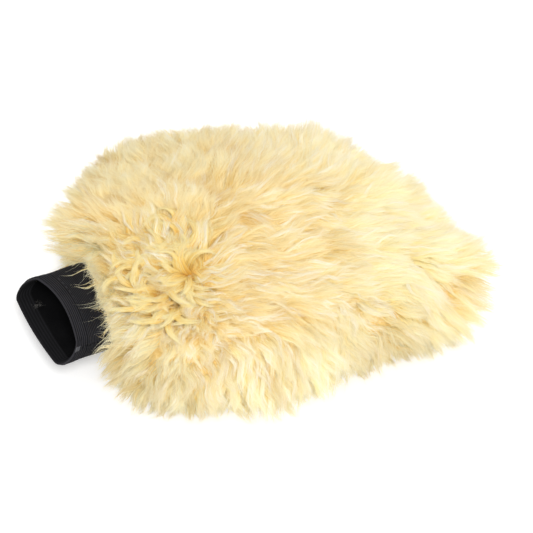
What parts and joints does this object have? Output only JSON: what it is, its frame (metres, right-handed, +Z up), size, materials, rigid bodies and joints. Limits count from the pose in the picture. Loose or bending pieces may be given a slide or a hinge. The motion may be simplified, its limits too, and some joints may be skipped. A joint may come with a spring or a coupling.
{
  "type": "wash mitt",
  "caption": "Thumbless long-pile wool wash mitt with a lined hand pocket and a ribbed elastic wrist cuff that flexes at its seam.",
  "frame": {"origin": "middle of the bounding box's base, on the surface that the mitt lies on", "axes": "+X is the way the hand goes in through the cuff, +Z is up with the back of the hand on top, and +Y completes the right-handed frame; the bag turns towards -Y from the cuff's line"},
  "size_m": [0.316, 0.2532, 0.0726],
  "materials": {
    "wool": "matte",
    "hide": "matte",
    "lining_cloth": "matte",
    "seam_thread": "satin",
    "cuff_elastic": "matte",
    "cord_rubber": "matte",
    "facing_cloth": "matte",
    "cuff_thread": "satin",
    "tack_thread": "satin"
  },
  "bodies": {
    "mitt": {"upper_fleece": "wool", "lower_fleece": "wool", "upper_hide": "hide", "lower_hide": "hide", "upper_lining": "lining_cloth", "lower_lining": "lining_cloth", "perimeter_stitches": "seam_thread", "mouth_stitches": "seam_thread"},
    "cuff": {"cuff_band": "cuff_elastic", "cuff_elastic_cords": "cord_rubber", "cuff_facing": "facing_cloth", "cuff_facing_stitches": "cuff_thread", "cuff_closing_stitches": "cuff_thread", "cuff_bar_tack": "tack_thread"}
  },
  "joints": [
    {"name": "cuff_flex", "type": "hinge", "parent": "mitt", "child": "cuff", "pos_m": [-0.1, 0.00265, 0.0298], "axis": [0, 1, 0], "range_deg": [-18, 18], "stiffness_Nm_per_rad": 0.15}
  ]
}
